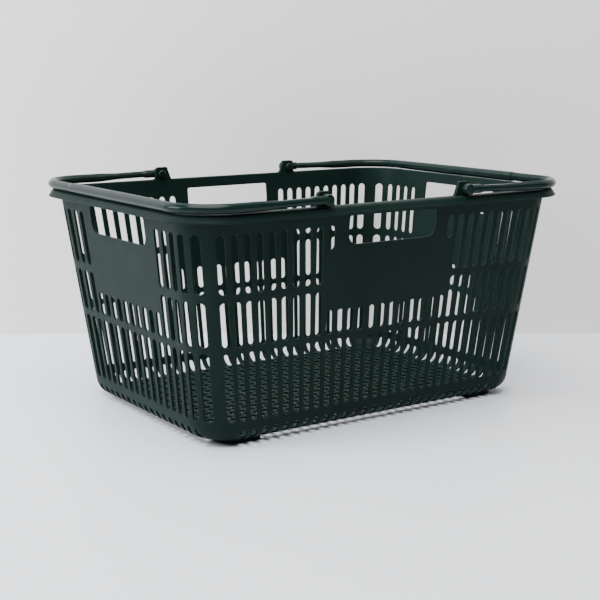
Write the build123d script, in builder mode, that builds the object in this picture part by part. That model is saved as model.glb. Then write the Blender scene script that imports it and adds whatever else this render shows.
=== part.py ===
from build123d import *
import math
import os

# Plastic shopping basket with two folding bail handles.
# Millimetres, +Z up, origin on the floor under the middle of the basket.
# X runs along the long walls, Y along the end walls.

# ---- tub ----
tub_top_length = 466
tub_top_width = 332
tub_top_corner = 42
tub_base_length = 414
tub_base_width = 283
tub_base_corner = 42
rim_height = 236
foot_height = 5
wall_thickness = 2.5
floor_thickness = 3
base_round = 14

# ---- rim: a flat flange with a skirt that leans out ----
rim_overhang = 12
skirt_height = 8.5
skirt_lean = 4
flange_thickness = 2.4
skirt_thickness = 2.2
rim_corner = tub_top_corner + rim_overhang

# ---- slot columns: they close up towards the base with the taper ----
long_pitch = 14.03
long_columns = 30
end_pitch = 15.4
end_columns = 20
slot_width = 8
long_fan = 0.00055
end_fan = 0.0007

# ---- slot tiers, bottom and top heights ----
top_tier = (157, 215.6)
middle_tier = (104, 149.4)
low_tier = (26.5, 98.2)
fan_datum = top_tier[1]
cut_short_bottom = 191.7
panel_bottom = 129.3
slit_top = 18
slit_width = 6.5
slit_margin = 2

# ---- hand holes ----
hole_top = 224
hole_floor = 194.7
long_hole_half = 56
end_hole_half = 61
hole_low_corner = 11
hole_top_corner = 2
long_hole_columns = 10
end_hole_columns = 10

# ---- floor grid ----
grid_pitch_x = 22.8
grid_pitch_y = 11.4
grid_count_x = 16
grid_count_y = 20
grid_hole_x = 19.4
grid_hole_y = 8.2

# ---- feet ----
foot_length = 46
foot_width = 26
foot_end = 178
foot_side = 122
foot_corner = 20
foot_small_corner = 4

# ---- handles and their pivots ----
pivot_x = 90
pivot_height = 242.5
bar_width = 9.6
bar_height = 9.6
bar_corner = 2.4
grip_length = 170
grip_width = 11
grip_height = 11.4
grip_corner = 3
bend_radius = 48
eye_radius = 6
leg_y = tub_top_width / 2 + rim_overhang - bar_width / 2
end_bar_x = tub_top_length / 2 + rim_overhang - bar_width / 2
grip_x = tub_top_length / 2 + rim_overhang - grip_width / 2
bend_x = end_bar_x - bend_radius
bend_y = leg_y - bend_radius
ear_thickness = 4.5
ear_inner_y = tub_top_width / 2 - wall_thickness
ear_top = 250.5
ear_half = 7.5
ear_slope = 6
ear_round = 4
ear_small_round = 1.5
stud_radius = 3.2
stud_clearance = 0.05
head_radius = 4.8
head_length = 3
head_gap = 0.3
head_chamfer = 1.4

wide = 600

# ---- where the tub is divided into named walls, at the top tier ----
long_middle_cut = long_pitch * long_hole_columns / 2
long_corner_cut = long_pitch * (long_columns / 2 - 2)
end_middle_cut = end_pitch * end_hole_columns / 2
end_corner_cut = end_pitch * (end_columns / 2 - 2)


def fan(height, rate):
    """Share of its top-tier spacing that a slot column keeps at this height."""
    return 1 - rate * (fan_datum - height)


def column_places(count, pitch):
    """Distances of the slot columns from the wall's middle, at the top tier."""
    return [(index - (count - 1) / 2) * pitch for index in range(count)]


def slot_tiers(index, count, blank):
    """Bottom and top of each slot in one column of a wall with a hand hole in its middle."""
    first = (count - blank) // 2
    last = first + blank - 1
    long_wall = count == long_columns
    if first <= index <= last:
        return [(middle_tier[0], panel_bottom), low_tier]
    if long_wall and index in (first - 1, last + 1):
        return [(cut_short_bottom, top_tier[1]), (middle_tier[0], panel_bottom), low_tier]
    return [top_tier, middle_tier, low_tier]


def slot_profiles(count, pitch, blank, rate):
    """Draws every slot of a wall into the sketch that is open, leaning with its column."""
    for index, place in enumerate(column_places(count, pitch)):
        for low, high in slot_tiers(index, count, blank):
            foot = place * fan(low, rate)
            head = place * fan(high, rate)
            lean = math.degrees(math.atan2(high - low, head - foot))
            with Locations(((foot + head) / 2, (low + high) / 2)):
                SlotOverall(high - low, slot_width, rotation=lean)


def hand_hole(half):
    """Draws a hand hole: square shoulders above, large corners below."""
    with BuildLine() as outline:
        FilletPolyline(
            (half, hole_floor), (-half, hole_floor), (-half, hole_top), (half, hole_top),
            radius=[hole_low_corner, hole_low_corner, hole_top_corner, hole_top_corner],
            close=True,
        )
    make_face(outline.edges())


def slit_profiles():
    """Draws the short slits that wrap the rounded lower edge, one under each column."""
    for place in column_places(long_columns, long_pitch)[1:-1]:
        across = place * fan(foot_height, long_fan)
        with Locations((across, tub_base_width / 2), (across, -tub_base_width / 2)):
            Rectangle(slit_width, 2 * (base_round - slit_margin))
    for place in column_places(end_columns, end_pitch)[1:-1]:
        across = place * fan(foot_height, end_fan)
        with Locations((tub_base_length / 2, across), (-tub_base_length / 2, across)):
            Rectangle(2 * (base_round - slit_margin), slit_width)


def floor_outline():
    """Draws the flat floor inside the rounded lower edge."""
    RectangleRounded(
        tub_base_length - 2 * base_round, tub_base_width - 2 * base_round, tub_base_corner - base_round)


def fan_strip(near, far, rate):
    """Corners of a strip between two column lines, from below the feet to above the rim."""
    low = -1
    high = rim_height + 1
    foot = fan(low, rate)
    head = fan(high, rate)
    return [(near * foot, low), (far * foot, low), (far * head, high), (near * head, high)]


# ---- the whole tub, before it is divided into its named walls ----
with BuildPart() as outer:
    with BuildSketch(Plane.XY.offset(foot_height)):
        RectangleRounded(tub_base_length, tub_base_width, tub_base_corner)
    with BuildSketch(Plane.XY.offset(rim_height)):
        RectangleRounded(tub_top_length, tub_top_width, tub_top_corner)
    loft()
    fillet(outer.faces().sort_by(Axis.Z)[0].edges(), base_round)

with BuildPart() as inner:
    with BuildSketch(Plane.XY.offset(foot_height + floor_thickness)):
        RectangleRounded(
            tub_base_length - 2 * wall_thickness, tub_base_width - 2 * wall_thickness,
            tub_base_corner - wall_thickness)
    with BuildSketch(Plane.XY.offset(rim_height)):
        RectangleRounded(
            tub_top_length - 2 * wall_thickness, tub_top_width - 2 * wall_thickness,
            tub_top_corner - wall_thickness)
    loft()
    fillet(inner.faces().sort_by(Axis.Z)[0].edges(), base_round - wall_thickness)

with BuildPart() as tub:
    add(outer.part)
    add(inner.part, mode=Mode.SUBTRACT)
    with BuildSketch(Plane.XZ):
        slot_profiles(long_columns, long_pitch, long_hole_columns, long_fan)
    extrude(amount=wide / 2, both=True, mode=Mode.SUBTRACT)
    with BuildSketch(Plane.YZ):
        slot_profiles(end_columns, end_pitch, end_hole_columns, end_fan)
    extrude(amount=wide / 2, both=True, mode=Mode.SUBTRACT)
    with BuildSketch(Plane.XZ):
        hand_hole(long_hole_half)
    extrude(amount=wide / 2, both=True, mode=Mode.SUBTRACT)
    with BuildSketch(Plane.YZ):
        hand_hole(end_hole_half)
    extrude(amount=wide / 2, both=True, mode=Mode.SUBTRACT)
    with BuildSketch():
        slit_profiles()
    extrude(amount=slit_top, mode=Mode.SUBTRACT)
    with BuildSketch(Plane.XY.offset(foot_height)):
        floor_outline()
    extrude(amount=floor_thickness, mode=Mode.SUBTRACT)


# ---- the walls, cut along the middles of bars ----
with BuildPart() as front_wall:
    add(tub.part)
    with BuildSketch(Plane.XZ):
        Polygon(*fan_strip(-long_middle_cut, long_middle_cut, long_fan), align=None)
    extrude(amount=wide, mode=Mode.INTERSECT)

with BuildPart() as long_panel:
    add(tub.part)
    with BuildSketch(Plane.XZ):
        Polygon(*fan_strip(-long_corner_cut, -long_middle_cut, long_fan), align=None)
    extrude(amount=wide, mode=Mode.INTERSECT)

with BuildPart() as left_wall:
    add(tub.part)
    with BuildSketch(Plane.YZ):
        Polygon(*fan_strip(-end_middle_cut, end_middle_cut, end_fan), align=None)
    extrude(amount=-wide, mode=Mode.INTERSECT)

with BuildPart() as end_panel:
    add(tub.part)
    with BuildSketch(Plane.YZ):
        Polygon(*fan_strip(-end_corner_cut, -end_middle_cut, end_fan), align=None)
    extrude(amount=-wide, mode=Mode.INTERSECT)

with BuildPart() as corner_post:
    add(tub.part)
    with BuildSketch(Plane.XZ):
        Polygon(*fan_strip(-wide, -long_corner_cut, long_fan), align=None)
    extrude(amount=wide, mode=Mode.INTERSECT)
    with BuildSketch(Plane.YZ):
        Polygon(*fan_strip(-wide, -end_corner_cut, end_fan), align=None)
    extrude(amount=-wide, mode=Mode.INTERSECT)

# ---- the floor grid ----
with BuildPart() as floor_grid:
    with BuildSketch(Plane.XY.offset(foot_height)):
        floor_outline()
        with GridLocations(grid_pitch_x, grid_pitch_y, grid_count_x, grid_count_y):
            Rectangle(grid_hole_x, grid_hole_y, mode=Mode.SUBTRACT)
    extrude(amount=floor_thickness)

# ---- the rim, a flange with a leaning skirt, before it is divided ----
with BuildPart() as rim:
    skirt_bottom = rim_height - skirt_height
    full_length = tub_top_length + 2 * rim_overhang
    full_width = tub_top_width + 2 * rim_overhang
    with BuildSketch(Plane.XY.offset(skirt_bottom)):
        RectangleRounded(full_length, full_width, rim_corner)
    with BuildSketch(Plane.XY.offset(rim_height)):
        RectangleRounded(
            full_length - 2 * skirt_lean, full_width - 2 * skirt_lean, rim_corner - skirt_lean)
    loft()
    with BuildSketch(Plane.XY.offset(skirt_bottom)):
        RectangleRounded(
            full_length - 2 * skirt_thickness, full_width - 2 * skirt_thickness,
            rim_corner - skirt_thickness)
    with BuildSketch(Plane.XY.offset(rim_height - flange_thickness)):
        RectangleRounded(
            full_length - 2 * skirt_thickness - 2 * skirt_lean,
            full_width - 2 * skirt_thickness - 2 * skirt_lean,
            rim_corner - skirt_thickness - skirt_lean)
    loft(mode=Mode.SUBTRACT)
    add(outer.part, mode=Mode.SUBTRACT)

rail_half_x = long_corner_cut * fan(rim_height, long_fan)
rail_half_y = end_corner_cut * fan(rim_height, end_fan)

with BuildPart() as front_rim:
    add(rim.part)
    with BuildSketch():
        with Locations((0, -wide / 2)):
            Rectangle(2 * rail_half_x, wide)
    extrude(amount=wide, mode=Mode.INTERSECT)

with BuildPart() as left_rim:
    add(rim.part)
    with BuildSketch():
        with Locations((-wide / 2, 0)):
            Rectangle(wide, 2 * rail_half_y)
    extrude(amount=wide, mode=Mode.INTERSECT)

with BuildPart() as rim_bend:
    add(rim.part)
    with BuildSketch():
        with Locations((-rail_half_x, -rail_half_y)):
            Rectangle(wide, wide, align=(Align.MAX, Align.MAX))
    extrude(amount=wide, mode=Mode.INTERSECT)

# ---- a foot and an ear ----
with BuildPart() as foot:
    with BuildSketch():
        with BuildLine():
            FilletPolyline(
                (-foot_end, -foot_side), (foot_length - foot_end, -foot_side),
                (foot_length - foot_end, foot_width - foot_side), (-foot_end, foot_width - foot_side),
                radius=[foot_corner, foot_small_corner, foot_small_corner, foot_small_corner],
                close=True,
            )
        make_face()
    extrude(amount=foot_height)

with BuildPart() as ear:
    with BuildSketch(Plane.XZ.offset(ear_inner_y)):
        Polygon(
            (-pivot_x - ear_half, rim_height), (-pivot_x + ear_half + ear_slope, rim_height),
            (-pivot_x + ear_half, ear_top), (-pivot_x - ear_half, ear_top), align=None)
    extrude(amount=ear_thickness)
    top_edges = ear.edges().filter_by(Axis.Y).group_by(Axis.Z)[-1].sort_by(Axis.X)
    fillet(top_edges[0], ear_round)
    fillet(ear.edges().filter_by(Axis.Y).group_by(Axis.Z)[-1].sort_by(Axis.X)[-1], ear_small_round)
    with BuildSketch(Plane.XZ.offset(ear_inner_y)):
        with Locations((-pivot_x, pivot_height)):
            Circle(stud_radius + stud_clearance)
    extrude(amount=ear_thickness, mode=Mode.SUBTRACT)

# ---- the left handle: legs with eyes and studs, bends, and the grip between them ----
with BuildPart() as handle_leg:
    with BuildSketch(Plane.YZ.offset(-pivot_x)):
        with Locations((-leg_y, pivot_height)):
            RectangleRounded(bar_width, bar_height, bar_corner)
    extrude(amount=pivot_x - bend_x)
    with BuildSketch(Plane.XZ.offset(leg_y + bar_width / 2)):
        with Locations((-pivot_x, pivot_height)):
            Circle(eye_radius)
    extrude(amount=-bar_width)

with BuildPart() as handle_bend:
    with BuildSketch(Plane.YZ.offset(-bend_x)):
        with Locations((-leg_y, pivot_height)):
            RectangleRounded(bar_width, bar_height, bar_corner)
    revolve(axis=Axis((-bend_x, -bend_y, 0), (0, 0, -1)), revolution_arc=90)

with BuildPart() as handle_stud:
    stud_start = leg_y - bar_width / 2
    head_start = ear_inner_y - head_gap
    with BuildSketch(Plane.XZ.offset(stud_start)):
        with Locations((-pivot_x, pivot_height)):
            Circle(stud_radius)
    extrude(amount=head_start - stud_start)
    with BuildSketch(Plane.XZ.offset(head_start)):
        with Locations((-pivot_x, pivot_height)):
            Circle(head_radius)
    extrude(amount=-head_length)
    chamfer(handle_stud.faces().sort_by(Axis.Y)[-1].edges(), head_chamfer)

with BuildPart() as left_grip:
    with BuildSketch(Plane.XZ.offset(bend_y)):
        with Locations((-end_bar_x, pivot_height)):
            RectangleRounded(bar_width, bar_height, bar_corner)
    extrude(amount=-2 * bend_y)
    with BuildSketch(Plane.XZ.offset(grip_length / 2)):
        with Locations((-grip_x, pivot_height)):
            RectangleRounded(grip_width, grip_height, grip_corner)
    extrude(amount=-grip_length)

# ---- mirror the pieces to their places and write one file for each ----
quarters = {
    "long_panel": long_panel.part,
    "end_panel": end_panel.part,
    "corner_post": corner_post.part,
    "rim_corner": rim_bend.part,
    "foot": foot.part,
    "ear": ear.part,
    "handle_leg": handle_leg.part,
    "handle_bend": handle_bend.part,
    "handle_stud": handle_stud.part,
}
pieces = {
    "floor_grid": floor_grid.part,
    "front_wall": front_wall.part,
    "back_wall": mirror(front_wall.part, about=Plane.XZ),
    "left_wall": left_wall.part,
    "right_wall": mirror(left_wall.part, about=Plane.YZ),
    "front_rim": front_rim.part,
    "back_rim": mirror(front_rim.part, about=Plane.XZ),
    "left_rim": left_rim.part,
    "right_rim": mirror(left_rim.part, about=Plane.YZ),
    "left_grip": left_grip.part,
    "right_grip": mirror(left_grip.part, about=Plane.YZ),
}
for name, quarter in quarters.items():
    pieces[name + "_front_left"] = quarter
    pieces[name + "_back_left"] = mirror(quarter, about=Plane.XZ)
    pieces[name + "_front_right"] = mirror(quarter, about=Plane.YZ)
    pieces[name + "_back_right"] = quarter.rotate(Axis.Z, 180)

os.makedirs("parts", exist_ok=True)
for name, piece in pieces.items():
    piece.label = name
    export_step(piece, "parts/" + name + ".step")
    print(name, len(piece.solids()), round(piece.volume / 1000, 2), "cm3")
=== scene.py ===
# %% [markdown]
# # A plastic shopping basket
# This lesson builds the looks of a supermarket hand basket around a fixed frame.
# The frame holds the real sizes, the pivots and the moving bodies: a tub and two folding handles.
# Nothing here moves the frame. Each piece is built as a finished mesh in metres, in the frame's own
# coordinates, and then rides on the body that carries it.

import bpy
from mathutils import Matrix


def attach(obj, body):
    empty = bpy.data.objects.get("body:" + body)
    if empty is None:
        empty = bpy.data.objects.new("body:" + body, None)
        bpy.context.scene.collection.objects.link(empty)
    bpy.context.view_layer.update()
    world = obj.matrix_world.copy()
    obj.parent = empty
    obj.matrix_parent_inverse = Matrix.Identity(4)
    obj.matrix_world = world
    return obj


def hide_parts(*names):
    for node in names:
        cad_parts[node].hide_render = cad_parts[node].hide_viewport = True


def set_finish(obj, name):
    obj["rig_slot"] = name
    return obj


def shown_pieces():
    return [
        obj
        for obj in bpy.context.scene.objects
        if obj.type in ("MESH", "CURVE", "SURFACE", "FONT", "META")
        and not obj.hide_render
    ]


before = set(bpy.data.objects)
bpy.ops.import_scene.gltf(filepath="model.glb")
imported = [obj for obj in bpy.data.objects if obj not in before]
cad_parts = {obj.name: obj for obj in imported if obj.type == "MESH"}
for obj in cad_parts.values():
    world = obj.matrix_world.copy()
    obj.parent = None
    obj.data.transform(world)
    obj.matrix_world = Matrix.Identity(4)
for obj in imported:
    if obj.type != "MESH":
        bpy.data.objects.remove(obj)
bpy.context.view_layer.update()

# %% Tools for the whole lesson
import math

import bmesh
import bpy
from mathutils import Matrix, Vector

MM = 0.001


def make_piece(name, points, faces, body, nodes, slot):
    """Makes a smooth-shaded mesh from points in millimetres, rides it on a body and hides the CAD nodes."""
    mesh = bpy.data.meshes.new(name)
    mesh.from_pydata([(x * MM, y * MM, z * MM) for x, y, z in points], [], faces)
    mesh.validate()
    mesh.polygons.foreach_set("use_smooth", [True] * len(mesh.polygons))
    piece = bpy.data.objects.new(name, mesh)
    bpy.context.scene.collection.objects.link(piece)
    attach(piece, body)
    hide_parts(*nodes)
    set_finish(piece, slot)
    print(name, len(points), "points", len(faces), "faces")
    return piece


def soften(piece, width, segments=2, angle=50):
    """Rounds the sharp edges of a piece, as a mould does, and keeps its flat faces flat."""
    bevel = piece.modifiers.new("moulded edges", "BEVEL")
    bevel.width = width * MM
    bevel.segments = segments
    bevel.limit_method = "ANGLE"
    bevel.angle_limit = math.radians(angle)
    bevel.harden_normals = True
    return bevel


# %% [markdown]
# ## The shape of the tub
# A basket is moulded with a taper, so that it leaves the mould and baskets nest in each other.
# Its outline at any height is a rectangle with round corners that grows evenly from base to rim.
# The lower edge is rolled over a 14 mm radius. A wall could be cut with booleans, but a hundred
# columns of slots leave a broken mesh. Here every point of the wall is worked out from two numbers,
# how far it is across the wall and how far up, so the same small functions serve all four walls.

# %% The tub's outline at a height
BASE = (204.5, 141.0)
TOP = (233.0, 166.0)
CORNER = 42.0
FOOT_TOP = 5.0
RIM_TOP = 236.0
WALL_THICK = 2.5
ROLL = 14.0
ROLL_TOP = FOOT_TOP + ROLL
ROLL_START = ROLL_TOP - ROLL * math.pi / 2


def half_sides(z):
    """Half the length and half the width of the tub at height z."""
    share = (z - FOOT_TOP) / (RIM_TOP - FOOT_TOP)
    return tuple(low + (high - low) * share for low, high in zip(BASE, TOP))


def climb(up):
    """Height and inset of a point that is this far up the wall, measured over the rolled lower edge."""
    if up >= ROLL_TOP:
        return up, 0.0
    turn = math.pi / 2 - (ROLL_TOP - up) / ROLL
    return FOOT_TOP + ROLL * (1 - math.cos(turn)), ROLL * (1 - math.sin(turn))


def fan(up, rate):
    """The columns close up slightly towards the base, with the taper. rate is per millimetre of height."""
    return 1 - rate * (215.6 - climb(up)[0])


print("outline at base and rim", half_sides(FOOT_TOP), half_sides(RIM_TOP))

# %% A point on a wall
WALLS = ("front", "right", "back", "left")


def wall_point(wall, across, up):
    """The point of a wall's outer face, round its corners too."""
    z, inset = climb(up)
    long_half, short_half = half_sides(z)
    along, away = (long_half, short_half) if wall in ("front", "back") else (short_half, long_half)
    flat = along - CORNER
    if abs(across) <= flat:
        side, out = across, away - inset
    else:
        turn = math.asin(min(1.0, (abs(across) - flat) / CORNER))
        side = math.copysign(flat + (CORNER - inset) * math.sin(turn), across)
        out = away - CORNER + (CORNER - inset) * math.cos(turn)
    return {
        "front": (side, -out, z), "right": (out, side, z), "back": (-side, out, z), "left": (-out, -side, z),
    }[wall]


print("front, middle of the wall, mid height:", wall_point("front", 0, 120))

# %% [markdown]
# ## The walls
# The real walls are a pattern of tall slots in three tiers, with a row of short slits that wrap
# round the lower edge, a plain panel in the middle of each side, and a hand hole above each panel.
# Each slot sits in a cell of its own. A cell is a ring of four-sided faces between the cell's
# straight outline and the slot's round-ended outline, and all cells share the same heights, so
# neighbours meet point to point. A Solidify modifier then gives the sheet its 2.5 mm thickness
# and a Bevel rounds the edges, which is where moulded plastic catches the light.

# %% Slot sizes and the heights that all columns share
LONG = {"pitch": 14.03, "count": 30, "hole": 56.0, "blank": 10, "cut": True, "fan": 0.0006}
SHORT = {"pitch": 15.4, "count": 20, "hole": 61.0, "blank": 10, "cut": False, "fan": 0.00070}
SLOT_WIDTH = 8.0
SLIT_WIDTH = 6.5
SLIT = (-1.0, 18.0)
LOW = (26.5, 98.2)
MIDDLE = (104.0, 149.4)
SHORTENED = (104.0, 129.3)
UPPER = (157.0, 215.6)
CUT_SHORT = (191.7, 215.6)
HOLE_FLOOR, HOLE_TOP = 194.7, 224.0
HOLE_LOW_CORNER, HOLE_TOP_CORNER = 11.0, 2.0
CELLS = (ROLL_START, 19.6, 22.4, 101.1, 132.4, 153.2, 188.2, 218.4, 228.0, 235.0)


def arc_heights(slot, width):
    """The four heights where a slot's round ends meet its straight sides."""
    radius = width / 2
    rise = radius * math.sin(math.pi / 8)
    return [slot[0] + radius - rise, slot[0] + radius, slot[1] - radius, slot[1] - radius + rise]


heights = set(CELLS) | {5.5, 8.6, 11.7, 222.0}
for slot, width in ((SLIT, SLIT_WIDTH), (LOW, SLOT_WIDTH), (MIDDLE, SLOT_WIDTH), (SHORTENED, SLOT_WIDTH),
                    (UPPER, SLOT_WIDTH), (CUT_SHORT, SLOT_WIDTH)):
    heights |= {round(h, 4) for h in arc_heights(slot, width)}
LEVELS = sorted(heights)
print(len(LEVELS), "shared heights")

# %% Points are kept once, so that neighbouring cells join
points, faces, kept = [], [], {}


def corner_of(wall, across, up):
    """The number of a wall point, made only once."""
    place = wall_point(wall, across, up)
    key = tuple(round(v, 3) for v in place)
    if key not in kept:
        kept[key] = len(points)
        points.append(place)
    return kept[key]


def edge(kind, column, up):
    """How far across the wall the edge of a column is at this height."""
    return (column - kind["count"] / 2) * kind["pitch"] * fan(up, kind["fan"])


def between(low, high):
    return [h for h in LEVELS if low < h < high]


def ring(outer, inner):
    """Joins two loops of the same length with a ring of faces."""
    for i in range(len(outer)):
        j = (i + 1) % len(outer)
        faces.append((outer[i], outer[j], inner[j], inner[i]))


# %% A cell with a slot, and a plain cell
def outline_of(wall, kind, first, last, low, high):
    """The loop of points round some columns: across the foot, up, back across the head, and down."""
    steps = (last - first) * 4
    shares = [first + i / 4 for i in range(steps + 1)]
    loop = [corner_of(wall, edge(kind, s, low), low) for s in shares]
    loop += [corner_of(wall, edge(kind, last, h), h) for h in between(low, high)]
    loop += [corner_of(wall, edge(kind, s, high), high) for s in reversed(shares)]
    loop += [corner_of(wall, edge(kind, first, h), h) for h in reversed(between(low, high))]
    return loop


def slot_cell(wall, kind, column, low, high, slot, width):
    """A cell with one round-ended slot."""
    radius = width / 2
    sides = between(low, high)[2:-2]

    def on_slot(turn, centre_up):
        up = centre_up + radius * math.sin(math.radians(turn))
        return corner_of(wall, edge(kind, column + 0.5, up) + radius * math.cos(math.radians(turn)), up)

    def on_side(sign, up):
        return corner_of(wall, edge(kind, column + 0.5, up) + sign * radius, up)

    foot, head = slot[0] + radius, slot[1] - radius
    inner = [on_slot(turn, foot) for turn in (225, 247.5, 270, 292.5, 315, 337.5, 360)]
    inner += [on_side(1, up) for up in sides]
    inner += [on_slot(turn, head) for turn in (0, 22.5, 45, 67.5, 90, 112.5, 135, 157.5, 180)]
    inner += [on_side(-1, up) for up in reversed(sides)]
    inner += [on_slot(turn, foot) for turn in (180, 202.5)]
    ring(outline_of(wall, kind, column, column + 1, low, high), inner)


def plain_cell(wall, kind, column, low, high):
    """A closed stretch of one column."""
    rows = [low] + between(low, high) + [high]
    for under, over in zip(rows, rows[1:]):
        for i in range(4):
            near, far = column + i / 4, column + (i + 1) / 4
            faces.append((
                corner_of(wall, edge(kind, near, under), under),
                corner_of(wall, edge(kind, far, under), under),
                corner_of(wall, edge(kind, far, over), over),
                corner_of(wall, edge(kind, near, over), over)))


# %% A hand hole
def hand_hole(wall, kind, low, high):
    """The hole for a hand: large lower corners, nearly square upper ones, across the blank columns."""
    first = (kind["count"] - kind["blank"]) // 2
    last = first + kind["blank"]
    half = kind["hole"]
    steps = kind["blank"] * 4

    def round_corner(sign, radius, up, turn):
        return corner_of(
            wall, sign * (half - radius + radius * math.cos(math.radians(turn))),
            up + radius * math.sin(math.radians(turn)))

    low_up, top_up = HOLE_FLOOR + HOLE_LOW_CORNER, HOLE_TOP - HOLE_TOP_CORNER
    turns = (-45, -60, -75, -90)
    reach = half - HOLE_LOW_CORNER
    count = steps + 1 - 2 * len(turns)
    inner = [round_corner(-1, HOLE_LOW_CORNER, low_up, turn) for turn in turns]
    inner += [corner_of(wall, -reach + 2 * reach * (i + 1) / (count + 1), HOLE_FLOOR) for i in range(count)]
    inner += [round_corner(1, HOLE_LOW_CORNER, low_up, turn) for turn in reversed(turns)]
    ups = between(low, high)
    inner += [round_corner(1, HOLE_LOW_CORNER, low_up, turn) for turn in (-22.5, 0)]
    inner += [corner_of(wall, half, up) for up in ups[2:-1]]
    inner += [round_corner(1, HOLE_TOP_CORNER, top_up, turn) for turn in (0, 45, 90)]
    reach = half - HOLE_TOP_CORNER
    count = steps + 1 - 4
    inner += [corner_of(wall, reach - 2 * reach * (i + 1) / (count + 1), HOLE_TOP) for i in range(count)]
    inner += [round_corner(-1, HOLE_TOP_CORNER, top_up, turn) for turn in (90, 45, 0)]
    inner += [corner_of(wall, -half, up) for up in reversed(ups[2:-1])]
    inner += [round_corner(-1, HOLE_LOW_CORNER, low_up, turn) for turn in (0, -22.5)]
    ring(outline_of(wall, kind, first, last, low, high), inner)


# %% The four walls and the posts between them
(roll_foot, slit_cell_top, band_top, low_cell_top, short_top,
 middle_top, cut_foot, upper_top, hole_cell_top, brim) = CELLS


def build_wall(wall, kind):
    first = (kind["count"] - kind["blank"]) // 2
    last = first + kind["blank"] - 1
    for column in range(kind["count"]):
        if 0 < column < kind["count"] - 1:
            slot_cell(wall, kind, column, roll_foot, slit_cell_top, SLIT, SLIT_WIDTH)
        else:
            plain_cell(wall, kind, column, roll_foot, slit_cell_top)
        plain_cell(wall, kind, column, slit_cell_top, band_top)
        slot_cell(wall, kind, column, band_top, low_cell_top, LOW, SLOT_WIDTH)
        if first <= column <= last:
            slot_cell(wall, kind, column, low_cell_top, short_top, SHORTENED, SLOT_WIDTH)
            plain_cell(wall, kind, column, short_top, cut_foot)
        elif kind["cut"] and column in (first - 1, last + 1):
            slot_cell(wall, kind, column, low_cell_top, short_top, SHORTENED, SLOT_WIDTH)
            plain_cell(wall, kind, column, short_top, cut_foot)
            slot_cell(wall, kind, column, cut_foot, upper_top, CUT_SHORT, SLOT_WIDTH)
            plain_cell(wall, kind, column, upper_top, hole_cell_top)
        else:
            slot_cell(wall, kind, column, low_cell_top, middle_top, MIDDLE, SLOT_WIDTH)
            slot_cell(wall, kind, column, middle_top, upper_top, UPPER, SLOT_WIDTH)
            plain_cell(wall, kind, column, upper_top, hole_cell_top)
        plain_cell(wall, kind, column, hole_cell_top, brim)
    hand_hole(wall, kind, cut_foot, hole_cell_top)


def build_post(wall, kind, following, following_kind):
    """The plain post between a wall's last column and the next wall's first."""
    def across_post(up):
        long_half, short_half = half_sides(climb(up)[0])
        along, away = (long_half, short_half) if wall in ("front", "back") else (short_half, long_half)
        here = edge(kind, kind["count"], up)
        there = edge(following_kind, following_kind["count"], up)
        start = math.asin((here - along + CORNER) / CORNER)
        finish = math.pi / 2 - math.asin((there - away + CORNER) / CORNER)
        middle = along - CORNER + CORNER * math.sin((start + finish) / 2)
        return [corner_of(wall, here, up), corner_of(wall, middle, up), corner_of(following, -there, up)]

    for under, over in zip(LEVELS, LEVELS[1:]):
        low_row, high_row = across_post(under), across_post(over)
        for i in range(2):
            faces.append((low_row[i], low_row[i + 1], high_row[i + 1], high_row[i]))


kinds = {"front": LONG, "right": SHORT, "back": LONG, "left": SHORT}
for i, wall in enumerate(WALLS):
    build_wall(wall, kinds[wall])
    after = WALLS[(i + 1) % 4]
    build_post(wall, kinds[wall], after, kinds[after])

QUARTERS = ("front_left", "back_left", "front_right", "back_right")
wall_nodes = [wall + "_wall" for wall in WALLS]
wall_nodes += [part + "_" + q for part in ("long_panel", "end_panel", "corner_post") for q in QUARTERS]
basket_walls = make_piece("basket_walls", points, faces, "tub", wall_nodes, "tub_plastic")
shell = basket_walls.modifiers.new("wall thickness", "SOLIDIFY")
shell.thickness = WALL_THICK * MM
shell.offset = -1
shell.use_even_offset = True
shell.use_quality_normals = True
soften(basket_walls, 0.5)

# %% [markdown]
# ## The floor
# The floor of the real basket is a fine grid of ribs, open so that water and dirt fall through.
# A lattice of bars could be modelled one by one. A flat curve with a hole spline for each opening
# is quicker: Blender fills it, extrudes it to the floor's thickness and rounds its edges in one go.
# The openings near the round corners are left out where they would run into the wall.

# %% The floor grid
FLOOR_PITCH = 11.4
FLOOR_HOLE = 8.4
FLOOR_THICK = 2.6
FLOOR_EDGE = 0.35
FLOOR_TUCK = 1.2
HOLE_ROUND = 1.6


def rounded_rectangle(half_x, half_y, radius, steps=8):
    """Corner points of a rectangle with round corners, counter-clockwise."""
    loop = []
    for sx, sy, start in ((1, 1, 0), (-1, 1, 90), (-1, -1, 180), (1, -1, 270)):
        for i in range(steps + 1):
            turn = math.radians(start + 90 * i / steps)
            loop.append((sx * (half_x - radius) + radius * math.cos(turn),
                         sy * (half_y - radius) + radius * math.sin(turn)))
    return loop


def inside_floor(x, y, half_x, half_y, radius):
    dx = max(0.0, abs(x) - (half_x - radius))
    dy = max(0.0, abs(y) - (half_y - radius))
    return math.hypot(dx, dy) <= radius and abs(x) <= half_x and abs(y) <= half_y


def flat_spline(curve, loop):
    spline = curve.splines.new("POLY")
    spline.points.add(len(loop) - 1)
    for point, (x, y) in zip(spline.points, loop):
        point.co = (x * MM, y * MM, 0, 1)
    spline.use_cyclic_u = True


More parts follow.
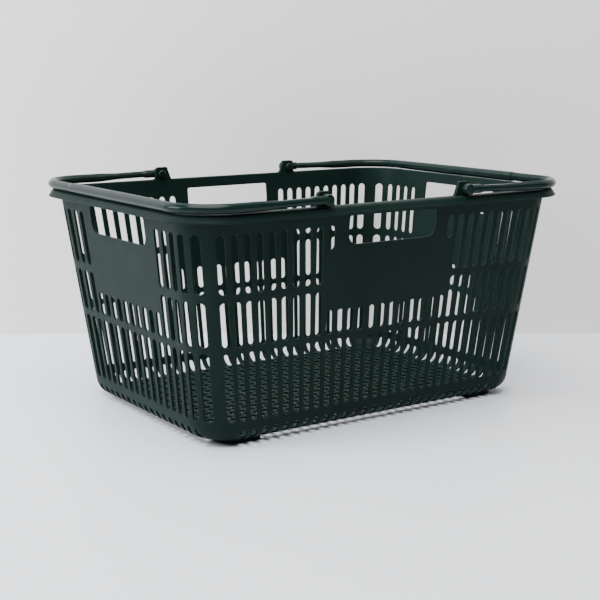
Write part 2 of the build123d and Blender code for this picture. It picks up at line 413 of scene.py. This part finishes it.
floor_curve = bpy.data.curves.new("floor outline", "CURVE")
floor_curve.dimensions = "2D"
floor_curve.fill_mode = "BOTH"
floor_curve.extrude = (FLOOR_THICK / 2 - FLOOR_EDGE) * MM
floor_curve.bevel_depth = FLOOR_EDGE * MM
floor_curve.bevel_resolution = 1
floor_half = (BASE[0] - ROLL + FLOOR_TUCK, BASE[1] - ROLL + FLOOR_TUCK)
flat_spline(floor_curve, rounded_rectangle(floor_half[0], floor_half[1], CORNER - ROLL + FLOOR_TUCK))
openings = 0
for i in range(-16, 17):
    for j in range(-11, 11):
        cx, cy = i * FLOOR_PITCH, (j + 0.5) * FLOOR_PITCH
        reach = FLOOR_HOLE / 2 + HOLE_ROUND
        if all(inside_floor(cx + sx * reach, cy + sy * reach, floor_half[0], floor_half[1], CORNER - ROLL)
               for sx in (-1, 1) for sy in (-1, 1)):
            hole = rounded_rectangle(FLOOR_HOLE / 2, FLOOR_HOLE / 2, HOLE_ROUND, steps=2)
            flat_spline(floor_curve, [(cx + x, cy + y) for x, y in hole])
            openings += 1
floor_object = bpy.data.objects.new("floor outline", floor_curve)
bpy.context.scene.collection.objects.link(floor_object)
bpy.context.view_layer.update()
depsgraph = bpy.context.evaluated_depsgraph_get()
floor_mesh = bpy.data.meshes.new_from_object(floor_object.evaluated_get(depsgraph))
bpy.data.objects.remove(floor_object)
floor_middle = FOOT_TOP + FLOOR_THICK / 2
floor_points = [(v.co.x / MM, v.co.y / MM, v.co.z / MM + floor_middle) for v in floor_mesh.vertices]
floor_faces = [tuple(p.vertices) for p in floor_mesh.polygons]
basket_floor = make_piece("basket_floor", floor_points, floor_faces, "tub", ["floor_grid"], "tub_plastic")
print(openings, "openings in the floor")

# %% [markdown]
# ## The rim
# A flange turns out at the top of the walls and rolls down into a skirt, which stiffens the tub.
# The skirt is smooth and slightly swollen, and its lower edge ends in a thin bead that shows as a
# bright line. Its cross-section is drawn once as a list of distances, out from the wall and up,
# and carried round the tub's outline. At a corner the same section simply turns about the centre.

# %% The rim, one section carried round
RIM_SECTION = (
    (-2.5, 232.4), (-2.5, 235.2), (-2.1, 235.8), (-1.4, 236.0), (2.0, 236.0), (4.6, 235.9), (6.4, 235.5),
    (7.8, 234.7), (8.8, 233.6), (9.6, 232.2), (10.3, 230.8), (11.0, 229.8), (11.7, 229.2), (12.0, 228.6),
    (11.9, 227.9), (11.2, 227.5), (10.3, 227.7), (9.5, 228.5), (8.8, 230.0), (7.9, 231.8), (6.6, 233.0),
    (4.8, 233.6), (0.5, 233.6), (0.2, 232.4),
)


def round_tub(section, length, width, corner, steps=14):
    """Points and faces of a closed section carried round a rectangle with round corners."""
    stations = []
    for sx, sy, start in ((1, -1, 270), (1, 1, 0), (-1, 1, 90), (-1, -1, 180)):
        for i in range(steps + 1):
            turn = math.radians(start + 90 * i / steps)
            stations.append((sx * (length - corner), sy * (width - corner), turn))
    made = []
    for x, y, turn in stations:
        for out, up in section:
            made.append((x + (corner + out) * math.cos(turn), y + (corner + out) * math.sin(turn), up))
    size = len(section)
    quads = []
    for s in range(len(stations)):
        t = (s + 1) % len(stations)
        for i in range(size):
            j = (i + 1) % size
            quads.append((s * size + i, s * size + j, t * size + j, t * size + i))
    return made, [tuple(reversed(q)) for q in quads]


rim_points, rim_faces = round_tub(RIM_SECTION, TOP[0], TOP[1], CORNER)
rim_nodes = [wall + "_rim" for wall in WALLS] + ["rim_corner_" + q for q in QUARTERS]
basket_rim = make_piece("basket_rim", rim_points, rim_faces, "tub", rim_nodes, "tub_plastic")

# %% [markdown]
# ## Ears and feet
# Four ears stand on the flange and carry the handle pivots. Each leans towards the basket's middle,
# where its foot is wider, and its top is rounded. Four low pads under the corners keep the grid off
# the ground. Both are drawn as an outline, extruded, and rounded at their edges with a Bevel.

# %% Ears
PIVOT_X, PIVOT_Z = 90.0, 242.5
EAR_INNER, EAR_OUTER = 163.5, 168.0


def extruded(loop, place, near, far):
    """Points and faces of a flat outline pushed from near to far. place turns (u, v, depth) into a point."""
    size = len(loop)
    made = [place(u, v, near) for u, v in loop] + [place(u, v, far) for u, v in loop]
    quads = [tuple(reversed(range(size))), tuple(range(size, 2 * size))]
    for i in range(size):
        j = (i + 1) % size
        quads.append((i, j, size + j, size + i))
    return made, quads


def arc(cx, cy, radius, start, end, steps):
    """Points along an arc, from one angle in degrees to another."""
    turns = [math.radians(start + (end - start) * i / steps) for i in range(steps + 1)]
    return [(cx + radius * math.cos(turn), cy + radius * math.sin(turn)) for turn in turns]


def facing_out(made, quads):
    """Turns the faces so that all normals point out of a closed piece."""
    shape = bmesh.new()
    verts = [shape.verts.new(p) for p in made]
    for q in quads:
        shape.faces.new([verts[i] for i in q])
    bmesh.ops.recalc_face_normals(shape, faces=shape.faces)
    shape.verts.index_update()
    turned = [tuple(v.index for v in f.verts) for f in shape.faces]
    shape.free()
    return made, turned


ear_loop = [(-10.5, 235.0), (13.5, 235.0), (13.5, 236.2), (12.2, 237.6), (8.4, 247.6)]
ear_loop += arc(6.0, 248.0, 2.5, 0, 90, 4)[1:]
ear_loop += arc(-3.5, 246.5, 4.0, 90, 180, 6) + [(-7.5, 238.4), (-8.2, 237.0), (-10.5, 236.2)]
for quarter in QUARTERS:
    side = -1 if "front" in quarter else 1
    end = -1 if "left" in quarter else 1
    made, quads = extruded(
        ear_loop, lambda u, v, d: (end * (PIVOT_X - u), side * d, v), EAR_INNER, EAR_OUTER)
    made, quads = facing_out(made, quads)
    ear = make_piece("pivot_ear_" + quarter, made, quads, "tub", ["ear_" + quarter], "tub_plastic")
    soften(ear, 0.6, 3, 40)

# %% Feet
foot_loop = arc(162, 107, 20, 0, 90, 8)
foot_loop += [(140, 127), (136, 123), (136, 105), (140, 101), (178, 101), (182, 105)]
for quarter in QUARTERS:
    side = -1 if "front" in quarter else 1
    end = -1 if "left" in quarter else 1
    made, quads = extruded(foot_loop, lambda u, v, d: (end * u, side * v, d), 0.0, FOOT_TOP + 0.6)
    made, quads = facing_out(made, quads)
    foot = make_piece("foot_pad_" + quarter, made, quads, "tub", ["foot_" + quarter], "tub_plastic")
    soften(foot, 1.0, 3, 40)

# %% [markdown]
# ## The handles
# Each handle is one moulded bail: two legs that start at the pivots, two wide bends and the grip.
# Its thickness changes all the way: a round eye and a collar at the pivot, a thin leg, a stronger
# bend, and a thick grip that starts with a small step at one end and swells smoothly at the other.
# A tube with one section can't do that, so the bail is a stack of cross-sections placed along its
# centre line, each with its own width and height. The line sinks a little, so that the grip lies
# just above the rim. The right bail is the left one turned half round.

# %% The centre line of a bail and its thickness
LEG_Y = 173.2
END_X = 240.2
BEND = 48.0
GRIP_HALF = 85.0
LEG_RUN = END_X - BEND - PIVOT_X
BEND_RUN = BEND * math.pi / 2


def along_bail(run):
    """Place and heading on the front half of the left bail, this far from the pivot: x, y and the turn."""
    if run <= LEG_RUN:
        return -PIVOT_X - run, -LEG_Y, 0.0
    if run <= LEG_RUN + BEND_RUN:
        turn = (run - LEG_RUN) / BEND
        return (-(END_X - BEND) - BEND * math.sin(turn), -(LEG_Y - BEND) - BEND * math.cos(turn), turn)
    return -END_X, -(LEG_Y - BEND) + (run - LEG_RUN - BEND_RUN), math.pi / 2


def eased(value, low, high):
    share = min(1.0, max(0.0, (value - low) / (high - low)))
    return share * share * (3 - 2 * share)


GRIP_START = LEG_RUN + BEND_RUN + (LEG_Y - BEND) - GRIP_HALF
HALF_RUN = LEG_RUN + BEND_RUN + (LEG_Y - BEND)
DROOP = 1.2


def bail_size(run, stepped):
    """Width and height at this distance from the pivot. The grip starts with a step or swells smoothly."""
    collar = 1.0 - eased(run, 17.0, 19.5)
    width = 7.6 + 1.6 * collar + 2.0 * eased(run, 48, 85)
    height = 7.2 + 1.8 * collar + 2.2 * eased(run, 52, 78)
    rise = eased(run, GRIP_START, GRIP_START + 0.8) if stepped else eased(run, 110, HALF_RUN - 20)
    return width + 1.4 * rise, height + 1.1 * rise


print("half a bail is", round(HALF_RUN, 1), "mm long, and its grip starts at", round(GRIP_START, 1))

# %% The cross-section of a bail
OUTER_EDGE = 4.5


def bail_section(width, height, grip):
    """Points of one cross-section: out from the centre line and up, with flat facets on top."""
    w, h = width / 2, height / 2
    c = 0.26 * height
    ridge = 0.25 * grip
    shift = OUTER_EDGE - w
    loop = [
        (w - 0.15, -0.35 * h), (w + ridge, -0.06 * h), (w + ridge, 0.06 * h), (w - 0.1, 0.34 * h),
        (w - 0.35 * c, h - 0.9 * c), (w - 0.8 * c, h - 0.35 * c), (w - 1.35 * c, h - 0.02),
        (0.34 * w, h), (0.2 * w, h - 0.5 * grip), (-0.2 * w, h - 0.5 * grip), (-0.34 * w, h),
        (-w + 1.35 * c, h - 0.02), (-w + 0.8 * c, h - 0.35 * c), (-w + 0.35 * c, h - 0.9 * c),
        (-w, 0.34 * h), (-w, -0.34 * h),
        (-w + 0.3 * c, -h + 0.8 * c), (-w + 0.8 * c, -h + 0.3 * c), (-w + 1.4 * c, -h),
        (0.3 * w, -h), (w - 1.4 * c, -h), (w - 0.8 * c, -h + 0.3 * c), (w - 0.3 * c, -h + 0.8 * c),
    ]
    return [(out + shift, up) for out, up in loop]


# %% Build a bail
def bail_stations():
    """Distances from the pivot where a cross-section stands, closer together where the shape changes."""
    runs = [1.0 * i for i in range(0, 17, 2)] + [17.0, 17.6, 18.2, 18.9, 19.5]
    runs += [24 + 6 * i for i in range(int((LEG_RUN - 26) / 6) + 1)]
    runs += [LEG_RUN + BEND_RUN * i / 20 for i in range(21)]
    step = (GRIP_START - LEG_RUN - BEND_RUN - 1) / 5
    runs += [LEG_RUN + BEND_RUN + step * i for i in range(1, 6)]
    runs += [GRIP_START - 0.02, GRIP_START + 0.3, GRIP_START + 0.8]
    runs += [GRIP_START + 0.8 + (HALF_RUN - GRIP_START - 0.8) * i / 12 for i in range(1, 13)]
    return runs


def half_bail(stepped):
    """The cross-sections from a pivot to the middle of the grip."""
    half = []
    for run in bail_stations():
        x, y, turn = along_bail(run)
        width, height = bail_size(run, stepped)
        centre = PIVOT_Z - DROOP * eased(run, 10, 90)
        half.append([(x - math.sin(turn) * out, y - math.cos(turn) * out, centre + up)
                     for out, up in bail_section(width, height, eased(run, 40, 90))])
    return half


def build_bail(end):
    near, far = half_bail(False), half_bail(True)
    whole = near + [[(x, -y, z) for x, y, z in ring_points] for ring_points in reversed(far[:-1])]
    size = len(whole[0])
    made = [(-end * x, -end * y, z) for ring_points in whole for x, y, z in ring_points]
    quads = []
    for s in range(len(whole) - 1):
        for i in range(size):
            j = (i + 1) % size
            quads.append((s * size + i, s * size + j, (s + 1) * size + j, (s + 1) * size + i))
    quads.append(tuple(range(size)))
    quads.append(tuple(range((len(whole) - 1) * size, len(whole) * size)))
    return made, quads


for name, end in (("left", -1), ("right", 1)):
    made, quads = build_bail(end)
    made, quads = facing_out(made, quads)
    nodes = [name + "_grip"]
    nodes += ["handle_leg_" + side + "_" + name for side in ("front", "back")]
    nodes += ["handle_bend_" + side + "_" + name for side in ("front", "back")]
    bail = make_piece(name + "_bail", made, quads, name + "_handle", nodes, "handle_plastic")
    soften(bail, 0.5, 2, 42)

# %% Eyes and studs at the pivots
def turned(profile, steps=28):
    """Points and faces of a profile of (radius, depth) turned about the pivot's axis."""
    made = []
    for radius, depth in profile:
        for i in range(steps):
            turn = 2 * math.pi * i / steps
            made.append((radius * math.cos(turn), depth, radius * math.sin(turn)))
    quads = [tuple(range(steps)), tuple(range(len(made) - steps, len(made)))]
    for r in range(len(profile) - 1):
        for i in range(steps):
            j = (i + 1) % steps
            quads.append((r * steps + i, r * steps + j, (r + 1) * steps + j, (r + 1) * steps + i))
    return made, quads


EYE = (
    (5.0, 168.4), (5.6, 168.7), (5.9, 169.4), (5.9, 176.6), (5.5, 177.5), (4.6, 178.0), (2.4, 178.0),
    (2.1, 177.6),
)
STUD = (
    (3.2, 170.0), (3.2, 163.2), (4.4, 163.2), (4.8, 162.8), (4.8, 161.8), (4.2, 160.8), (3.2, 160.2),
    (1.4, 160.2), (1.2, 160.6),
)
for quarter in QUARTERS:
    side = -1 if "front" in quarter else 1
    end = -1 if "left" in quarter else 1
    body = "left_handle" if end < 0 else "right_handle"
    for label, profile, nodes in (("pivot_eye_", EYE, []), ("pivot_stud_", STUD, ["handle_stud_" + quarter])):
        made, quads = turned(profile)
        made = [(end * PIVOT_X + x, side * depth, PIVOT_Z + z) for x, depth, z in made]
        made, quads = facing_out(made, quads)
        part = make_piece(label + quarter, made, quads, body, nodes, "handle_plastic")
        soften(part, 0.3, 2, 35)

# %% [markdown]
# ## The plastic
# The basket is injection-moulded polypropylene, dyed a very dark green. It is never one flat colour:
# the mould leaves a fine grain, handling leaves pale scuffs that run sideways, raised edges rub
# lighter, and a little dust settles on what faces up. Each effect is a node group that gives out
# one mask or value, so that tub and handles share it with different strengths.

# %% Helpers for node groups
def new_group(name, inputs, outputs):
    """An empty shader group with named sockets: (name, default) inputs and output names."""
    group = bpy.data.node_groups.new(name, "ShaderNodeTree")
    for label, value in inputs:
        made_socket = group.interface.new_socket(label, in_out="INPUT", socket_type="NodeSocketFloat")
        made_socket.default_value = value
    for label in outputs:
        group.interface.new_socket(label, in_out="OUTPUT", socket_type="NodeSocketFloat")
    return group, group.nodes.new("NodeGroupInput"), group.nodes.new("NodeGroupOutput")


def add(tree, kind, **settings):
    node = tree.nodes.new(kind)
    for key, value in settings.items():
        setattr(node, key, value)
    return node


def maths(tree, operation, first, second):
    """A Math node. first and second are sockets or plain numbers."""
    node = add(tree, "ShaderNodeMath", operation=operation)
    for slot_number, value in enumerate((first, second)):
        if isinstance(value, (int, float)):
            node.inputs[slot_number].default_value = value
        else:
            tree.links.new(value, node.inputs[slot_number])
    return node.outputs[0]


def ramp(tree, value, low, high):
    """Spreads the stretch of a value between low and high over 0 to 1."""
    node = add(tree, "ShaderNodeMapRange")
    tree.links.new(value, node.inputs["Value"])
    node.inputs["From Min"].default_value = low
    node.inputs["From Max"].default_value = high
    return node.outputs["Result"]


def noise(tree, scale, detail=3.0, roughness=0.5, stretch=None):
    """Noise over the piece's own coordinates, stretched if asked."""
    coordinates = add(tree, "ShaderNodeTexCoord")
    texture = add(tree, "ShaderNodeTexNoise")
    texture.inputs["Detail"].default_value = detail
    texture.inputs["Roughness"].default_value = roughness
    if isinstance(scale, (int, float)):
        texture.inputs["Scale"].default_value = scale
    else:
        tree.links.new(scale, texture.inputs["Scale"])
    if stretch:
        mapping = add(tree, "ShaderNodeMapping")
        mapping.inputs["Scale"].default_value = stretch
        tree.links.new(coordinates.outputs["Object"], mapping.inputs["Vector"])
        tree.links.new(mapping.outputs["Vector"], texture.inputs["Vector"])
    else:
        tree.links.new(coordinates.outputs["Object"], texture.inputs["Vector"])
    return texture.outputs["Fac"]


# %% Mould grain: the fine skin that the mould leaves, and slow sink marks
grain_group, given, out = new_group(
    "mould_grain", [("Grain Size", 1400.0), ("Grain Depth", 0.5), ("Sink Depth", 0.5)], ["Height"])
skin = noise(grain_group, given.outputs["Grain Size"], 2.0)
fine = maths(grain_group, "MULTIPLY", skin, given.outputs["Grain Depth"])
sink = maths(grain_group, "MULTIPLY", noise(grain_group, 22.0, 2.0), given.outputs["Sink Depth"])
grain_group.links.new(maths(grain_group, "ADD", fine, sink), out.inputs["Height"])

# %% Scuffs: thin sideways marks from shelves and other baskets
scuff_group, given, out = new_group("handling_scuffs", [("Amount", 0.3)], ["Mask"])
streaks = ramp(scuff_group, noise(scuff_group, 60.0, 6.0, 0.6, (1.0, 1.0, 14.0)), 0.58, 0.74)
patches = ramp(scuff_group, noise(scuff_group, 9.0, 3.0), 0.42, 0.66)
patchy_streaks = maths(scuff_group, "MULTIPLY", streaks, patches)
scuffed = maths(scuff_group, "MULTIPLY", patchy_streaks, given.outputs["Amount"])
scuff_group.links.new(scuffed, out.inputs["Mask"])

# %% Rubbed edges: raised edges that other things brush past
edge_group, given, out = new_group("rubbed_edges", [("Amount", 0.5)], ["Mask"])
geometry = add(edge_group, "ShaderNodeNewGeometry")
raised = ramp(edge_group, geometry.outputs["Pointiness"], 0.52, 0.62)
broken = ramp(edge_group, noise(edge_group, 35.0, 4.0, 0.6), 0.35, 0.7)
rubbed = maths(edge_group, "MULTIPLY", maths(edge_group, "MULTIPLY", raised, broken), given.outputs["Amount"])
edge_group.links.new(rubbed, out.inputs["Mask"])

# %% Dust: settles on faces that look up
dust_group, given, out = new_group("settled_dust", [("Amount", 0.3)], ["Mask"])
geometry = add(dust_group, "ShaderNodeNewGeometry")
split = add(dust_group, "ShaderNodeSeparateXYZ")
dust_group.links.new(geometry.outputs["Normal"], split.inputs[0])
facing_up = ramp(dust_group, split.outputs["Z"], 0.75, 1.0)
uneven = ramp(dust_group, noise(dust_group, 120.0, 5.0, 0.7), 0.4, 0.75)
settled = maths(dust_group, "MULTIPLY", facing_up, uneven)
dusty = maths(dust_group, "MULTIPLY", settled, given.outputs["Amount"])
dust_group.links.new(dusty, out.inputs["Mask"])
print("effect groups:", sorted(g.name for g in bpy.data.node_groups))


# %% The moulded plastic itself
def moulded_plastic(name, colour, scuffed_colour, roughness, shine, grain_depth, scuffs, rubs, dust):
    """A dyed polypropylene: its colour drifts slightly, and marks change its colour and its gloss."""
    material = bpy.data.materials.new(name)
    material.use_nodes = True
    tree = material.node_tree
    surface = tree.nodes["Principled BSDF"]

    def effect(group, **values):
        node = add(tree, "ShaderNodeGroup", node_tree=group)
        for label, value in values.items():
            node.inputs[label.replace("_", " ")].default_value = value
        return node

    def mix(fac, first, second):
        node = add(tree, "ShaderNodeMix", data_type="RGBA")
        tree.links.new(fac, node.inputs["Factor"])
        for socket, value in ((node.inputs[6], first), (node.inputs[7], second)):
            if isinstance(value, tuple):
                socket.default_value = (*value, 1.0)
            else:
                tree.links.new(value, socket)
        return node.outputs[2]

    drift = ramp(tree, noise(tree, 14.0, 3.0), 0.3, 0.7)
    lighter = tuple(1.22 * c for c in colour)
    base = mix(drift, colour, lighter)
    scuff_mask = effect(scuff_group, Amount=scuffs).outputs["Mask"]
    rub_mask = effect(edge_group, Amount=rubs).outputs["Mask"]
    dust_mask = effect(dust_group, Amount=dust).outputs["Mask"]
    base = mix(scuff_mask, base, scuffed_colour)
    base = mix(rub_mask, base, scuffed_colour)
    base = mix(dust_mask, base, (0.10, 0.11, 0.10))
    tree.links.new(base, surface.inputs["Base Color"])
    patchy = maths(tree, "MULTIPLY_ADD", noise(tree, 45.0, 4.0), 0.12)
    patchy.node.inputs[2].default_value = roughness - 0.06
    rough = maths(tree, "ADD", patchy, maths(tree, "MULTIPLY", scuff_mask, 0.35))
    rough = maths(tree, "ADD", rough, maths(tree, "MULTIPLY", dust_mask, 0.5))
    tree.links.new(rough, surface.inputs["Roughness"])
    grain = effect(grain_group, Grain_Size=1400.0, Grain_Depth=grain_depth, Sink_Depth=0.35)
    bump = add(tree, "ShaderNodeBump")
    bump.inputs["Strength"].default_value = 0.35
    bump.inputs["Distance"].default_value = 0.0004
    tree.links.new(grain.outputs["Height"], bump.inputs["Height"])
    tree.links.new(bump.outputs["Normal"], surface.inputs["Normal"])
    surface.inputs["IOR"].default_value = 1.49
    surface.inputs["Specular IOR Level"].default_value = shine
    return material


tub_plastic = moulded_plastic(
    "tub plastic", (0.0050, 0.0140, 0.0116), (0.020, 0.036, 0.032), 0.48, 0.06, 0.5, 0.35, 0.40, 0.05)
handle_plastic = moulded_plastic(
    "handle plastic", (0.0040, 0.0135, 0.0110), (0.020, 0.036, 0.032), 0.16, 0.13, 0.2, 0.25, 0.40, 0.05)
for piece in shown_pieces():
    finish = handle_plastic if piece.get("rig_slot") == "handle_plastic" else tub_plastic
    piece.data.materials.clear()
    piece.data.materials.append(finish)

# %% [markdown]
# ## The studio
# The basket stands on a plain pale floor in front of a plain pale wall. A window-like light from the
# left lifts the end wall, and a larger soft light overhead reaches the floor, the wall and the rim.
# The long wall faces neither, so it stays darkest. The camera stands low, 1.4 m from the middle.

# %% Floor and wall
def plain_finish(name, colour, roughness):
    material = bpy.data.materials.new(name)
    material.use_nodes = True
    surface = material.node_tree.nodes["Principled BSDF"]
    surface.inputs["Base Color"].default_value = (*colour, 1.0)
    surface.inputs["Roughness"].default_value = roughness
    return material


YAW, PITCH, ROLL_ANGLE = math.radians(34.323), math.radians(10.908), math.radians(0.006)
ahead = Vector((math.sin(YAW), math.cos(YAW), 0))
beside = Vector((math.cos(YAW), -math.sin(YAW), 0))
CAMERA_PLACE = Vector((-0.7861, -1.1455, 0.3751))
ground = CAMERA_PLACE * Vector((1, 1, 0))


def stage_sheet(name, corners, material):
    mesh = bpy.data.meshes.new(name)
    mesh.from_pydata(corners, [], [(0, 1, 2, 3)])
    sheet = bpy.data.objects.new(name, mesh)
    bpy.context.scene.collection.objects.link(sheet)
    mesh.materials.append(material)
    return sheet


WALL_AWAY = 1.70
floor_paint = plain_finish("pale floor", (0.74, 0.765, 0.80), 0.42)
wall_paint = plain_finish("pale wall", (0.86, 0.845, 0.84), 0.9)
near = ground - ahead * 3
far = ground + ahead * WALL_AWAY
reach_aside = beside * 5
wall_rise = Vector((0, 0, 3))
stage_sheet("studio_floor", [
    near - reach_aside, near + reach_aside, far + reach_aside, far - reach_aside], floor_paint)
stage_sheet("studio_wall", [
    far - reach_aside, far + reach_aside, far + reach_aside + wall_rise, far - reach_aside + wall_rise],
    wall_paint)


# %% Lights
def soft_light(name, place, target, size, power, colour):
    lamp = bpy.data.lights.new(name, "AREA")
    lamp.shape = "RECTANGLE"
    lamp.size, lamp.size_y = size
    lamp.energy = power
    lamp.color = colour
    holder = bpy.data.objects.new(name, lamp)
    bpy.context.scene.collection.objects.link(holder)
    holder.location = place
    holder.rotation_euler = (Vector(target) - Vector(place)).to_track_quat("-Z", "Y").to_euler()
    return holder


soft_light("window", (-1.75, 0.62, 1.0), (0, 0, 0.15), (0.9, 1.0), 42, (0.93, 0.97, 1.0))
soft_light("ceiling", (-0.55, -0.42, 2.2), (0, 0, 0), (1.8, 1.8), 114, (1.0, 0.99, 0.98))
world = bpy.data.worlds.new("studio air")
bpy.context.scene.world = world
world.use_nodes = True
world.node_tree.nodes["Background"].inputs["Color"].default_value = (0.86, 0.90, 0.95, 1)
world.node_tree.nodes["Background"].inputs["Strength"].default_value = 0.06

# %% Camera
lens = bpy.data.cameras.new("eye")
lens.sensor_width = 36
lens.lens = 74.83
camera = bpy.data.objects.new("eye", lens)
bpy.context.scene.collection.objects.link(camera)
bpy.context.scene.camera = camera
look = ahead * math.cos(PITCH) - Vector((0, 0, math.sin(PITCH)))
upright = ahead * math.sin(PITCH) + Vector((0, 0, math.cos(PITCH)))
right = beside * math.cos(ROLL_ANGLE) + upright * math.sin(ROLL_ANGLE)
up = upright * math.cos(ROLL_ANGLE) - beside * math.sin(ROLL_ANGLE)
turn = Matrix((right, up, -look)).transposed().to_4x4()
camera.matrix_world = Matrix.Translation(CAMERA_PLACE) @ turn
lens.clip_end = 20

# %% [markdown]
# ## Finish
# The last line brings the scene up to date.

# %% Finish
bpy.context.view_layer.update()
